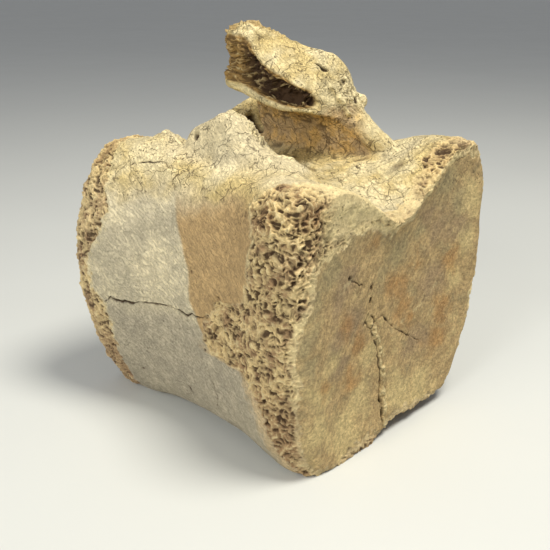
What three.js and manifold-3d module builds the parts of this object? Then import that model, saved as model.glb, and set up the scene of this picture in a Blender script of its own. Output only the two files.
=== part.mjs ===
// Fossil dorsal vertebra of a hadrosaur, resting on the underside of its centrum.
// Millimetres, +Z up. -Y is the front of the animal and +X is the animal's left side.
// The bone is modelled whole and parted by thin cuts into the pieces that an anatomist names.

import * as THREE from "three";
import { mergeVertices } from "three/addons/utils/BufferGeometryUtils.js";
import Module from "manifold-3d";

const wasm = await Module();
wasm.setup();

// Centrum: the spool that carries the arch
const CENTRUM_LENGTH = 108;
const FRONT_RIGHT_WIDTH = 57.5;
const FRONT_LEFT_WIDTH = 51;
const REAR_HALF_WIDTH = 63.5;
const WAIST_HALF_WIDTH = 51;
const RIM_HEIGHT = 99;
const WAIST_HEIGHT = 97;
const WAIST_ARCH = 3;
const FRONT_NOTCH = 82;
const WAIST_NOTCH = 88;
const REAR_NOTCH = 88;
const NOTCH_X = -2;
const WAIST_START = 38;
const WAIST_END = 50;
const RIM_KEPT = 4;
const FRONT_DISH = 3.5;
const REAR_DISH = 7;
const DISH_CENTRE_HEIGHT = 50;
const TROUGH_DEPTH = 2.5;
const TROUGH_WIDTH = 9;
const TROUGH_FROM = 45;
const TROUGH_FULL = 80;
const KEEL = -1.6;

// Worn rims: how far each end is rounded over, and how long the rounding is
const FRONT_WEAR_RIGHT = 10;
const FRONT_WEAR_LEFT = 5;
const FRONT_WEAR_LENGTH = 18;
const REAR_WEAR = 5;
const WEAR_ABOVE = 0.5;
const WEAR_BELOW = 0.15;
const REAR_WEAR_LENGTH = 9;
const MIDDLE_ZONE = 20;

// The left shoulder of the front rim stands higher, and its lower corner is narrower
const LEFT_SHOULDER_X = 27;
const LEFT_SHOULDER_WIDTH = 13;
const LEFT_SHOULDER_RISE = 4.5;
const LEFT_SHOULDER_LENGTH = 42;
const LEFT_SHOULDER_FROM = 70;
const LEFT_SHOULDER_FULL = 90;
const LEFT_TAPER = 0.16;
const LEFT_TAPER_HEIGHT = 45;

// A knob on the upper right corner of the rear rim
const KNOB_X = -31;
const KNOB_Y = 85;
const KNOB_RADIUS = 6;
const KNOB_RISE = 5.5;
const KNOB_FROM = 88;
const KNOB_FULL = 96;

// Uneven wear of the whole centrum: how deep it is at the rims and at the waist
const RIM_UNEVEN = 1.1;
const WAIST_UNEVEN = 0.35;
const UNEVEN_RIM_LENGTH = 6;
const UNEVEN_WAIST_FROM = 30;

// Open spongy bone on the right side, worn lower than the smooth surface: heights with
// how far it reaches back from the front rim, and its reach in front of the rear rim
const SPONGE_BAND = [
  [0, 3], [10, 8], [21, 14], [27, 17], [32, 28], [35, 41], [45, 44], [54, 39], [58, 28],
  [64, 20], [81, 19], [92, 23],
];
const REAR_SPONGE_BAND = 13;
const SPONGE_DEPTH = 0.8;
const REAR_SPONGE_DEPTH = 0.4;
const SPONGE_EDGE = 4;
const SPONGE_X = -30;
const SPONGE_LUMPS = 0.9;
const SPONGE_LUMP_TURN = 0.72;
const SPONGE_LUMP_LEAN = 0.27;

// Hollows broken into the spongy bone: distance from the front face, height, radius and depth
const SPONGE_HOLLOWS = [
  [36, 55, 4.5, 2], [29, 53, 4, 1.5], [9, 80, 4, 1.4], [5, 89, 4, 1.2], [11, 70, 4, 1.2],
  [26, 35, 5, 1.4], [10, 53, 4.5, 1], [11, 16, 5, 1.4], [10, 40, 4, 1.1], [10, 95, 4, 1.2],
];

// The crack down the front face, whose left half has lost its lower edge
const CRACK_X = -5;
const LOST_EDGE = 5;
const LOST_EDGE_HEIGHT = 30;
const LOST_EDGE_LENGTH = 22;
const LOST_EDGE_STEP = 3;

// Neural arch: the left half stands up to the broken base of the spine
const CANAL_LEFT = 17;
const ARCH_BURIED = 84;
const ROOF_LEDGE = 3;
const BREAK_HOLLOW = 2.5;
const BREAK_HOLLOW_REACH = 26;
const ARCH_STEPS = 20;
const ARCH_AROUND = 45;
const ARCH_TENSION = 0.3;

// Right pedicle, broken down to a stump
const STUMP_INSIDE = -15;
const STUMP_OUTSIDE = -42;
const STUMP_CREST_INSIDE = -23;
const STUMP_CREST_OUTSIDE = -31;
const STUMP_BURIED = 80;
const STUMP_AROUND = 28;
const STUMP_TENSION = 0.35;

// Thin cuts that part the bone: their heights, and how far their boxes reach
const CUT_GAP = 0.3;
const PEDICLE_CUT = 94;
const ROOF_CUT = 106.5;
const SPINE_CUT = 128;
const STUMP_CUT_FRONT = 15;
const STUMP_CUT_REAR = 93;
const STUMP_CUT_LEFT = -9;
const ARCH_CUT_FRONT = 20;
const ROOF_CUT_RIGHT = -12;
const ROOF_CUT_REAR = 96;
const LEFT_CUT_RIGHT = 10;
const LEFT_CUT_REAR = 92;
const SPINE_CUT_FRONT = 64;
const REACH = 400;

// Fineness of the surface
const AROUND = 92;
const ALONG = 34;
const RIM_CROWDING = 0.385;
const CAP_RINGS = [0.965, 0.9, 0.8, 0.66, 0.5, 0.33, 0.16];
const WELD = 1e-4;

// Waves of the uneven wear: how many go round the bone, their lean along it, shift and share
const WAVES = [
  [5, 9, 1.3, 0.45], [11, -17, 0.4, 0.3], [23, 31, 2.1, 0.25],
];

// Colours of the fossil bone
const PALE_BONE = 0xc8b690;
const YELLOW_BONE = 0xcdb67f;
const LIGHT_BONE = 0xd3c08c;
const HONEY_BONE = 0xc9b079;
const BROWN_BONE = 0xb98f58;

// Half outlines of the centrum as shares of its half width and height, from the keel
// round the side to the edge of the neural canal.
const FRONT_OUTLINE = [
  [0.28, 0], [0.56, 0], [0.8, 0.015], [0.93, 0.13], [0.98, 0.32], [1, 0.55],
  [1, 0.76], [0.97, 0.91], [0.85, 1], [0.62, 0.99], [0.36, 0.93],
];
const WAIST_OUTLINE = [
  [0.3, 0], [0.6, 0], [0.87, 0.02], [0.97, 0.12], [1, 0.28], [1, 0.47],
  [0.98, 0.64], [0.93, 0.8], [0.84, 0.94], [0.65, 0.99], [0.38, 0.95],
];
const REAR_OUTLINE = [
  [0.26, 0], [0.52, 0], [0.74, 0.01], [0.85, 0.13], [0.95, 0.3], [1, 0.48],
  [1, 0.64], [0.94, 0.81], [0.83, 0.93], [0.68, 1], [0.34, 0.97],
];

// Cross-sections of the arch from front to rear: how far it reaches to the midline,
// the height of the canal's roof, of the break's upper edge and of the ridge, the
// ridge's distance from the midline, the outer wall, and the height of the foot.
const ARCH_SECTIONS = [
  { y: 24, reach: 21, roof: 92, edge: 96, ridgeX: 23, ridge: 99, outer: 27, foot: ARCH_BURIED },
  { y: 34, reach: 19, roof: 97, edge: 101, ridgeX: 23, ridge: 105, outer: 29, foot: ARCH_BURIED },
  { y: 43, reach: 16, roof: 104, edge: 108, ridgeX: 22, ridge: 114, outer: 30, foot: ARCH_BURIED },
  { y: 49, reach: 2, roof: 109, edge: 117, ridgeX: 20, ridge: 127.5, outer: 31, foot: ARCH_BURIED },
  { y: 60, reach: 0, roof: 109, edge: 121, ridgeX: 16, ridge: 130.5, outer: 33, foot: ARCH_BURIED },
  { y: 70, reach: 0, roof: 110.5, edge: 126, ridgeX: 11.5, ridge: 134, outer: 34, foot: ARCH_BURIED },
  { y: 80, reach: 0, roof: 113, edge: 133, ridgeX: 7, ridge: 139, outer: 34, foot: ARCH_BURIED },
  { y: 86, reach: -1, roof: 114.5, edge: 136, ridgeX: 5, ridge: 138, outer: 33, foot: 96 },
  { y: 90, reach: 1, roof: 115, edge: 134, ridgeX: 7, ridge: 137, outer: 30, foot: 106 },
];

// Jagged crest of the right pedicle's stump, from front to rear
const STUMP_CREST = [
  [19, 92], [22, 96.5], [27, 99], [33, 99.3], [38, 100.2], [42, 101.6], [46, 105],
  [50, 109.3], [54, 111], [58, 110.8], [62, 108.7], [68, 106.5], [72, 104.8], [74.5, 101.5], [77, 92],
];

// Stub of the left front articular process
const FRONT_STUB = [[18, 53, 108], [24, 47, 110.5], [29, 42, 111.4]];
const FRONT_STUB_RADII = [5, 4, 2.6];

// Crest of the ridge behind the canal, from right to left, rising to the left pedicle
const REAR_RIDGE_CREST = [
  [1, 90], [5, 97], [10, 101.5], [18, 104.5], [27, 107.5], [34, 107], [40, 102], [45, 92],
];
const REAR_RIDGE_BURIED = 84;
const REAR_RIDGE_FRONT = 94;
const REAR_RIDGE_REAR = 107;
const REAR_RIDGE_AROUND = 24;
const REAR_RIDGE_TENSION = 0.4;

const smooth = (value, low, high) => THREE.MathUtils.smoothstep(value, low, high);
const mix = THREE.MathUtils.lerp;

// A closed curve through the points, evenly stepped from point to point
function closedLoop(points, count, tension = 0.5) {
  const curve = new THREE.CatmullRomCurve3(points, true, "catmullrom", tension);
  return curve.getPoints(count).slice(0, count);
}

// A closed surface through a stack of loops, with a fan at each end
function loft(loops) {
  const count = loops[0].length;
  const positions = [];
  const faces = [];
  for (const loop of loops) {
    for (const point of loop) {
      positions.push(point.x, point.y, point.z);
    }
  }
  for (let row = 0; row + 1 < loops.length; row += 1) {
    for (let step = 0; step < count; step += 1) {
      const next = (step + 1) % count;
      const a = row * count + step;
      const b = row * count + next;
      const c = (row + 1) * count + next;
      const d = (row + 1) * count + step;
      faces.push(a, b, c, a, c, d);
    }
  }
  for (const end of [0, loops.length - 1]) {
    const centre = new THREE.Vector3();
    loops[end].forEach((point) => centre.addScaledVector(point, 1 / count));
    const hub = positions.length / 3;
    positions.push(centre.x, centre.y, centre.z);
    for (let step = 0; step < count; step += 1) {
      const a = end * count + step;
      const b = end * count + ((step + 1) % count);
      faces.push(...(end === 0 ? [hub, b, a] : [hub, a, b]));
    }
  }
  const geometry = new THREE.BufferGeometry();
  geometry.setAttribute("position", new THREE.Float32BufferAttribute(positions, 3));
  geometry.setIndex(enclosedVolume(positions, faces) > 0 ? faces : faces.reverse());
  return geometry;
}

// The volume inside a closed surface, which is negative where its faces point inwards
function enclosedVolume(positions, faces) {
  const corner = (index) => new THREE.Vector3().fromArray(positions, faces[index] * 3);
  let volume = 0;
  for (let face = 0; face < faces.length; face += 3) {
    volume += corner(face).dot(corner(face + 1).cross(corner(face + 2))) / 6;
  }
  return volume;
}

// A round bar along a few points, with its own radius at each
function bar(points, radii, sides = 14, steps = 8) {
  const path = new THREE.CatmullRomCurve3(points.map((point) => new THREE.Vector3(...point)));
  const frames = path.computeFrenetFrames(steps, false);
  const loops = [];
  for (let step = 0; step <= steps; step += 1) {
    const place = (step / steps) * (radii.length - 1);
    const before = Math.min(Math.floor(place), radii.length - 2);
    const radius = mix(radii[before], radii[before + 1], place - before);
    const centre = path.getPointAt(step / steps);
    const loop = [];
    for (let side = 0; side < sides; side += 1) {
      const angle = (side / sides) * Math.PI * 2;
      loop.push(
        centre.clone()
          .addScaledVector(frames.normals[step], Math.cos(angle) * radius)
          .addScaledVector(frames.binormals[step], Math.sin(angle) * radius),
      );
    }
    loops.push(loop);
  }
  return loft(loops);
}

// A whole outline of the centrum from a half outline
function centrumOutline(half, rightWidth, leftWidth, base, height, notch) {
  const side = (width) => half.map(([across, up]) => [across * width, mix(base, height, up)]);
  return [[0, base], ...side(-rightWidth), [NOTCH_X, notch], ...side(leftWidth).reverse()];
}

const OUTLINES = {
  front: centrumOutline(FRONT_OUTLINE, FRONT_RIGHT_WIDTH, FRONT_LEFT_WIDTH, KEEL, RIM_HEIGHT, FRONT_NOTCH),
  waist: centrumOutline(
    WAIST_OUTLINE, WAIST_HALF_WIDTH, WAIST_HALF_WIDTH, WAIST_ARCH, WAIST_HEIGHT, WAIST_NOTCH,
  ),
  rear: centrumOutline(REAR_OUTLINE, REAR_HALF_WIDTH, REAR_HALF_WIDTH, KEEL, RIM_HEIGHT, REAR_NOTCH),
};

// The centrum's loop at one distance from the front face
function centrumLoop(y) {
  const toWaist = smooth(y, RIM_KEPT, WAIST_START);
  const toRear = smooth(y, WAIST_END, CENTRUM_LENGTH - RIM_KEPT);
  const frontRound = 1 - Math.sqrt(1 - Math.max(0, 1 - y / FRONT_WEAR_LENGTH) ** 2);
  const fromRear = (CENTRUM_LENGTH - y) / REAR_WEAR_LENGTH;
  const rearRound = 1 - Math.sqrt(1 - Math.max(0, 1 - fromRear) ** 2);
  const points = OUTLINES.front.map(([frontX, frontZ], index) => {
    const [waistX, waistZ] = OUTLINES.waist[index];
    const [rearX, rearZ] = OUTLINES.rear[index];
    let x = mix(mix(frontX, waistX, toWaist), rearX, toRear);
    let z = mix(mix(frontZ, waistZ, toWaist), rearZ, toRear);
    const wear = mix(FRONT_WEAR_RIGHT, FRONT_WEAR_LEFT, smooth(x, -MIDDLE_ZONE, MIDDLE_ZONE));
    const shrink = 1 - (frontRound * wear + rearRound * REAR_WEAR) / FRONT_RIGHT_WIDTH;
    const taper = smooth(x, 0, MIDDLE_ZONE) * smooth(LEFT_TAPER_HEIGHT - z, 0, LEFT_TAPER_HEIGHT);
    x *= shrink * (1 - LEFT_TAPER * taper);
    const shoulder = Math.exp(-(((x - LEFT_SHOULDER_X) / LEFT_SHOULDER_WIDTH) ** 2));
    const front = 1 - smooth(y, LEFT_SHOULDER_LENGTH / 3, LEFT_SHOULDER_LENGTH);
    z += LEFT_SHOULDER_RISE * shoulder * front * smooth(z, LEFT_SHOULDER_FROM, LEFT_SHOULDER_FULL);
    const wornShare = z > DISH_CENTRE_HEIGHT ? WEAR_ABOVE : WEAR_BELOW;
    z = DISH_CENTRE_HEIGHT + (z - DISH_CENTRE_HEIGHT) * mix(1, shrink, wornShare);
    const lostBelow = smooth(LOST_EDGE_HEIGHT - z, 0, LOST_EDGE_HEIGHT);
    const lost = smooth(x, CRACK_X - 1, CRACK_X - 1 + LOST_EDGE_STEP) * lostBelow;
    z += lost * LOST_EDGE * (1 - smooth(y, RIM_KEPT / 2, LOST_EDGE_LENGTH));
    return new THREE.Vector3(x, y, z);
  });
  const fromRim = Math.min(y, CENTRUM_LENGTH - y);
  const uneven = mix(RIM_UNEVEN, WAIST_UNEVEN, smooth(fromRim, UNEVEN_RIM_LENGTH, UNEVEN_WAIST_FROM));
  return closedLoop(points, AROUND).map((point, index) => {
    const depth = Math.abs(uneven * roughness(index / AROUND, y / CENTRUM_LENGTH));
    const outward = new THREE.Vector3(point.x, 0, point.z - DISH_CENTRE_HEIGHT).normalize();
    point.z += knobRise(point);
    return point.addScaledVector(outward, -depth - spongeDepth(point));
  });
}

function knobRise({ x, y, z }) {
  const away = ((x - KNOB_X) ** 2 + (y - KNOB_Y) ** 2) / KNOB_RADIUS ** 2;
  return KNOB_RISE * Math.exp(-away) * smooth(z, KNOB_FROM, KNOB_FULL);
}

// How far the spongy bone on the right side is worn below the smooth surface
function spongeDepth({ x, y, z }) {
  const onSide = 1 - smooth(x, SPONGE_X - SPONGE_EDGE, SPONGE_X + SPONGE_EDGE);
  const nearFront = smooth(bandWidth(z) - y, 0, SPONGE_EDGE);
  const nearRear = smooth(REAR_SPONGE_BAND - (CENTRUM_LENGTH - y), 0, SPONGE_EDGE);
  const across = Math.sin(y * SPONGE_LUMP_TURN + z * SPONGE_LUMP_LEAN);
  const up = Math.sin(z * SPONGE_LUMP_TURN - y * SPONGE_LUMP_LEAN);
  let depth = SPONGE_DEPTH + SPONGE_LUMPS * across * up;
  for (const [hollowY, hollowZ, radius, hollowDepth] of SPONGE_HOLLOWS) {
    depth += hollowDepth * Math.exp(-((y - hollowY) ** 2 + (z - hollowZ) ** 2) / radius ** 2);
  }
  return onSide * (nearFront * depth + nearRear * (REAR_SPONGE_DEPTH + SPONGE_LUMPS * across * up / 2));
}

// How far back the spongy bone reaches at one height
function bandWidth(z) {
  const above = SPONGE_BAND.findIndex(([height]) => height > z);
  if (above < 1) {
    return SPONGE_BAND.at(above)[1];
  }
  const [[lowZ, lowWidth], [highZ, highWidth]] = SPONGE_BAND.slice(above - 1, above + 1);
  return mix(lowWidth, highWidth, (z - lowZ) / (highZ - lowZ));
}

// Slow and quick waves round the bone and along it, between -1 and 1
function roughness(around, along) {
  const turn = Math.PI * 2 * around;
  return WAVES.reduce((sum, [count, lean, shift, share]) => (
    sum + share * Math.sin(turn * count + along * lean + shift)
  ), 0);
}

// An end face: rings drawn in from the rim, dished, with a trough below the notch
function endRings(rim, y, inward, dish) {
  return CAP_RINGS.map((share) => rim.map((point) => {
    const x = point.x * share;
    const z = DISH_CENTRE_HEIGHT + (point.z - DISH_CENTRE_HEIGHT) * share;
    const acrossTrough = Math.exp(-(((x - NOTCH_X) / TROUGH_WIDTH) ** 2));
    const trough = TROUGH_DEPTH * acrossTrough * smooth(z, TROUGH_FROM, TROUGH_FULL);
    const depth = dish * (1 - share ** 2) + trough * smooth(1 - share, 0, 1 - CAP_RINGS[1]);
    return new THREE.Vector3(x, y + inward * depth, z);
  }));
}

function centrumGeometry() {
  const loops = [];
  for (let row = 0; row <= ALONG; row += 1) {
    const share = row / ALONG;
    const eased = share - RIM_CROWDING * Math.sin(share * Math.PI * 2) / (Math.PI * 2);
    loops.push(centrumLoop(eased * CENTRUM_LENGTH));
  }
  const front = endRings(loops[0], 0, 1, FRONT_DISH).reverse();
  const rear = endRings(loops[ALONG], CENTRUM_LENGTH, -1, REAR_DISH);
  return loft([...front, ...loops, ...rear]);
}

// The left half of the arch: pedicle, roof of the canal and base of the spine
function archGeometry() {
  const loops = ARCH_SECTIONS.map((section) => {
    const { y, reach, roof, edge, ridgeX, ridge, outer, foot } = section;
    const wall = Math.max(CANAL_LEFT, reach + ROOF_LEDGE);
    const hollow = BREAK_HOLLOW * (1 - reach / BREAK_HOLLOW_REACH);
    return [
      [wall + 1, foot],
      [wall, mix(foot, roof, 0.5)],
      [mix(wall, reach, 0.2), mix(foot, roof, 0.85)],
      [mix(wall, reach, 0.6), roof - 0.8],
      [reach, roof],
      [reach, mix(roof, edge, 0.2)],
      [reach + hollow, mix(roof, edge, 0.5)],
      [reach, mix(roof, edge, 0.8)],
      [reach + 0.6, edge],
      [mix(reach, ridgeX, 0.5), mix(edge, ridge, 0.6)],
      [ridgeX, ridge],
      [mix(ridgeX, outer, 0.5), mix(ridge, roof, 0.3)],
      [mix(ridgeX, outer, 0.75), mix(ridge, roof, 0.75)],
      [outer - 1, mix(foot, roof, 0.6)],
      [outer + 2, foot],
    ].map(([x, z]) => new THREE.Vector3(x, y, z));
  });
  const count = loops[0].length;
  const columns = [];
  for (let index = 0; index < count; index += 1) {
    const column = new THREE.CatmullRomCurve3(loops.map((loop) => loop[index]));
    columns.push(column.getPoints(ARCH_STEPS));
  }
  const rows = columns[0].map((_, row) => columns.map((column) => column[row]));
  return loft(rows.map((row) => closedLoop(row, ARCH_AROUND, ARCH_TENSION)));
}

// The stump of the right pedicle
function stumpGeometry() {
  const loops = STUMP_CREST.map(([y, crest]) => closedLoop([
    [STUMP_INSIDE, STUMP_BURIED],
    [STUMP_INSIDE - 1, mix(STUMP_BURIED, crest, 0.5)],
    [mix(STUMP_INSIDE, STUMP_CREST_INSIDE, 0.6), mix(STUMP_BURIED, crest, 0.8)],
    [STUMP_CREST_INSIDE, crest - 1],
    [STUMP_CREST_OUTSIDE, crest],
    [mix(STUMP_CREST_OUTSIDE, STUMP_OUTSIDE, 0.5), mix(STUMP_BURIED, crest, 0.55)],
    [STUMP_OUTSIDE, STUMP_BURIED],
  ].map(([x, z]) => new THREE.Vector3(x, y, z)), STUMP_AROUND, STUMP_TENSION));
  return loft(loops);
}

// The ridge that closes the canal's rear left corner, undercut on its front side
function rearRidgeGeometry() {
  const loops = REAR_RIDGE_CREST.map(([x, crest]) => closedLoop([
    [REAR_RIDGE_FRONT, REAR_RIDGE_BURIED],
    [REAR_RIDGE_FRONT + 2, mix(REAR_RIDGE_BURIED, crest, 0.45)],
    [REAR_RIDGE_FRONT + 0.5, mix(REAR_RIDGE_BURIED, crest, 0.75)],
    [REAR_RIDGE_FRONT + 4, crest - 0.6],
    [REAR_RIDGE_FRONT + 7.5, crest],
    [REAR_RIDGE_REAR - 2.5, mix(REAR_RIDGE_BURIED, crest, 0.7)],
    [REAR_RIDGE_REAR, REAR_RIDGE_BURIED],
  ].map(([y, z]) => new THREE.Vector3(x, y, z)), REAR_RIDGE_AROUND, REAR_RIDGE_TENSION));
  return loft(loops);
}

// A closed solid of a geometry
function solid(geometry) {
  const plain = geometry.clone();
  plain.deleteAttribute("normal");
  plain.deleteAttribute("uv");
  const merged = mergeVertices(plain, WELD);
  return new wasm.Manifold(new wasm.Mesh({
    numProp: 3,
    vertProperties: Float32Array.from(merged.attributes.position.array),
    triVerts: Uint32Array.from(merged.index.array),
  }));
}

// A box between two corners, as a solid
function block(low, high) {
  const size = high.map((value, axis) => value - low[axis]);
  const geometry = new THREE.BoxGeometry(...size);
  geometry.translate(...high.map((value, axis) => (value + low[axis]) / 2));
  return solid(geometry);
}

// The two sides of a thin cut round a box: what lies inside it, and what stays outside
function part(whole, low, high) {
  const half = CUT_GAP / 2;
  const inside = block(low.map((value) => value + half), high.map((value) => value - half));
  const outside = block(low.map((value) => value - half), high.map((value) => value + half));
  return [largest(whole.intersect(inside)), largest(whole.subtract(outside))];
}

// The largest closed surface of a solid
function largest(whole) {
  return whole.decompose().reduce((best, piece) => (piece.volume() > best.volume() ? piece : best));
}

function toGeometry(piece) {
  const mesh = piece.getMesh();
  const geometry = new THREE.BufferGeometry();
  geometry.setAttribute("position", new THREE.Float32BufferAttribute(mesh.vertProperties, 3));
  geometry.setIndex(Array.from(mesh.triVerts));
  geometry.computeVertexNormals();
  return geometry;
}

const whole = solid(centrumGeometry())
  .add(solid(stumpGeometry()))
  .add(solid(archGeometry()))
  .add(solid(bar(FRONT_STUB, FRONT_STUB_RADII)))
  .add(solid(rearRidgeGeometry()))
  .subtract(block([-REACH, -REACH, -REACH], [REACH, REACH, 0]));

// Each cut: the name of what it frees, two corners of its box, and the colour of the bone
const CUTS = [
  [
    "right_pedicle_stump",
    [-REACH, STUMP_CUT_FRONT, PEDICLE_CUT], [STUMP_CUT_LEFT, STUMP_CUT_REAR, REACH], YELLOW_BONE,
  ],
  [
    "neural_spine_base",
    [-REACH, SPINE_CUT_FRONT, SPINE_CUT], [REACH, REACH, REACH], LIGHT_BONE,
  ],
  [
    "neural_arch_roof",
    [ROOF_CUT_RIGHT, ARCH_CUT_FRONT, ROOF_CUT], [REACH, ROOF_CUT_REAR, REACH], HONEY_BONE,
  ],
  [
    "left_pedicle",
    [LEFT_CUT_RIGHT, ARCH_CUT_FRONT, PEDICLE_CUT], [REACH, LEFT_CUT_REAR, ROOF_CUT], BROWN_BONE,
  ],
];

const bone = new THREE.Group();

function addPiece(name, piece, color) {
  const material = new THREE.MeshStandardMaterial({ color, roughness: 0.85, metalness: 0 });
  const mesh = new THREE.Mesh(toGeometry(piece), material);
  mesh.name = name;
  bone.add(mesh);
}

let rest = whole;
for (const [name, low, high, color] of CUTS) {
  const [inside, outside] = part(rest, low, high);
  addPiece(name, inside, color);
  rest = outside;
}
addPiece("centrum", rest, PALE_BONE);

// The origin goes to the middle of the underside
const bounds = new THREE.Box3().setFromObject(bone);
const middle = bounds.getCenter(new THREE.Vector3());
bone.position.set(-middle.x, -middle.y, -bounds.min.z);

export default bone;
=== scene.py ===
import itertools
import math

import bmesh
import bpy
import numpy as np
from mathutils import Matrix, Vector


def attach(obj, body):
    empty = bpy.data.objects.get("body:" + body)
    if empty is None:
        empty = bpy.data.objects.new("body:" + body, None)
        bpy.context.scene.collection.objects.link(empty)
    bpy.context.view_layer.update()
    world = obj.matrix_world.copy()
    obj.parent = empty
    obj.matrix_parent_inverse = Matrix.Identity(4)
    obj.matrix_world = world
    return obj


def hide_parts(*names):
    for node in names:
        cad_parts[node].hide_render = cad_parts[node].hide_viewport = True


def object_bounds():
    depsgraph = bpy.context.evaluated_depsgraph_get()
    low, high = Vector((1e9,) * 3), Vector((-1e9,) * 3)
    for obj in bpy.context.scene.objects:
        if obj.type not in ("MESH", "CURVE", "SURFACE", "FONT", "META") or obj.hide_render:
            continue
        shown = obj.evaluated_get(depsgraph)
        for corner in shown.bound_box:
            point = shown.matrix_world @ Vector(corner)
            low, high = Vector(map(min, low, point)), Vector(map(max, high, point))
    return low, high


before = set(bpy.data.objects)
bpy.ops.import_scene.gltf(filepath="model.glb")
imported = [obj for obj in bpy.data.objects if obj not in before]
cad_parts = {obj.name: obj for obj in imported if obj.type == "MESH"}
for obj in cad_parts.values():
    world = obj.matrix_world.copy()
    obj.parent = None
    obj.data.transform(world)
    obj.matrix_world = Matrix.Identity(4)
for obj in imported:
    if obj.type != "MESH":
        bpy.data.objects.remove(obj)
cad_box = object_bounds()

# Camera, in metres and degrees
CAMERA_PLACE = (-0.1985, -0.1904, 0.1525)
CAMERA_TURN = 45.0
CAMERA_DIP = 21.23
FIELD_OF_VIEW = 40.0

# Light and floor, in metres and watts
KEY_PLACE, KEY_SIZE, KEY_POWER, KEY_COLOUR = (0.08, -0.26, 0.75), 0.28, 5.7, (1.0, 0.95, 0.86)
FILL_PLACE, FILL_SIZE, FILL_POWER, FILL_COLOUR = (-0.80, -0.10, 0.50), 0.45, 4.3, (1.0, 0.97, 0.92)
AIM = (0.0, 0.0, 0.06)
WORLD_COLOUR, WORLD_STRENGTH = (0.95, 0.96, 1.0, 1.0), 0.32
FLOOR_HALF = 12.0

# Skin, in metres
WELD = 1e-6
SWELL = 0.0004
VOXEL = 0.0011
SMOOTH_ROUNDS = 6

# Surface work, in millimetres and degrees
TO_MM = 1000.0
FRONT, REAR = -54.0, 54.0
AXIS_HEIGHT = 49.0
RIM_ZONE = 10.0
ANGLE_STEP = 3
RIM_TOP = 105.0
RIM_SOFTNESS = 0.6
FACE_ZONE = (38, 44)
PEDICLE_CENTRE = (26.0, -10.0)
LINE_REACH = 3.0

# Shares of a region from which it has relief, and from which its mesh is finer
FAINT = 0.02
ROUGH = 0.1

# Width of open spongy bone round the rims by angle: 0 is the animal's right, 90 the top, -90 the underside
FRONT_SIDE_BAND = {
    -180: 10, -120: 9, -70: 8, -42: 6, -29: 13, -22: 16, -18: 20, -17: 32, -16: 42, -12: 45, -4: 44,
    5: 39, 8: 30, 11: 24, 19: 19, 31: 19, 40: 24, 50: 14, 60: 10, 75: 8, 90: 5, 100: 8, 120: 9,
    135: 7, 150: 8, 180: 10,
}
FRONT_FACE_BAND = {
    -180: 4, -110: 4, -60: 4, -38: 3, -10: 3.5, 5: 5, 15: 8, 27: 12, 35: 19, 44: 25,
    52: 22, 60: 16, 75: 8, 90: 4, 100: 7, 115: 8, 130: 5, 150: 3, 180: 3,
}
REAR_SIDE_BAND = {
    -180: 12, -120: 12, -60: 14, -41: 19, -32: 18, -22: 18, -12: 17, -6: 16, -2: 11, 8: 9, 14: 16,
    18: 18, 27: 19, 33: 18, 41: 15, 50: 9, 60: 5, 90: 4, 130: 9, 180: 12,
}
REAR_FACE_BAND = {-180: 6, 0: 6, 180: 6}

# The broken side of the arch: heights of its upper and lower edges along the bone
BREAK_TOP = {-9: 115, -5: 117, 3: 120, 11: 122, 16: 125, 19: 128, 23: 132, 29: 134, 38: 137}
BREAK_LIP = {-9: 109.5, 4: 109.5, 10: 110.5, 18: 113, 27: 115.5, 38: 117.5}

# Rear border of the tan stain on the side, by height
STAIN_BORDER = {38: -10, 45: -5, 51: -2, 61: -1, 69: 2, 77: 6, 85: 9, 95: 12}

# Directions into the bone, from its side, face, top and arch
INWARD = (1.0, 0.0, 0.0)
BACKWARD = (0.0, 1.0, 0.0)
DOWNWARD = (0.0, 0.0, -1.0)
INTO_ARCH = (0.6, 0.64, -0.48)

# Lines of the cracks
SIDE_CRACK = (
    (-61, 36, 42), (-60, 33, 44), (-58, 26, 44), (-57, 20, 45), (-54, 12, 46),
    (-52, 4, 46), (-52, 1, 45), (-51, -5, 46), (-51, -11, 47),
)
FACE_BEADS = ((-14, -51, 61), (-14, -51, 54), (-15, -51, 49))
FACE_LOOP = ((-15, -51, 50), (-17, -51, 47), (-14, -51, 44), (-11, -51, 46), (-13, -51, 49))
FACE_SEAM = (
    (-13, -51, 45), (-10, -51, 40), (-8, -51, 34), (-6, -51, 26),
    (-6.5, -52, 20), (-6, -52, 12), (-6, -53, 2),
)
SEAM_SHADOW = tuple((x - 1.4, y, z) for x, y, z in FACE_SEAM)
FACE_GAP = ((-8, -51, 28), (-8, -51, 20), (-7.5, -52, 12), (-7, -53, 0))
FACE_CRACKS = (
    ((-11, -51, 47), (-6, -51, 46), (0, -51, 40), (8, -51, 34), (15, -51, 30)),
    ((-27, -52, 66), (-23, -51, 63), (-19, -51, 61)),
    ((22, -52, 98), (27, -53, 95), (34, -53, 96)),
)
SIDE_CRACKS = (
    ((-57, 38, 62), (-58, 34, 55), (-57, 27, 50)),
    ((-51, 8, 9), (-49, 4, 11), (-49, 1, 13), (-50, 4, 16)),
    ((-51, -10, 27), (-51, -13, 22), (-50, -14, 17), (-49, -13, 11)),
    ((-50, 31, 91), (-48, 30, 93), (-46, 24, 94), (-44, 18, 94), (-44, 12, 93), (-42, 10, 94)),
    ((-35, 15, 99), (-39, 14, 96), (-44, 10, 93), (-46, 11, 89), (-47, 9, 86)),
    ((-35, 3, 102), (-39, -1, 97), (-43, -2, 92)),
)
TOP_CRACKS = (
    ((18, -20, 94), (21, -28, 95), (26, -34, 96)),
    ((10, -25, 90), (14, -20, 92), (20, -18, 94)),
    ((24, -16, 97), (28, -26, 96), (32, -36, 96)),
    ((14, -30, 90), (20, -31, 93), (28, -28, 95)),
)
ROOF_SLIT = ((8.5, -0.5, 126), (11, -3, 124), (13.5, -5, 122.5))
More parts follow.
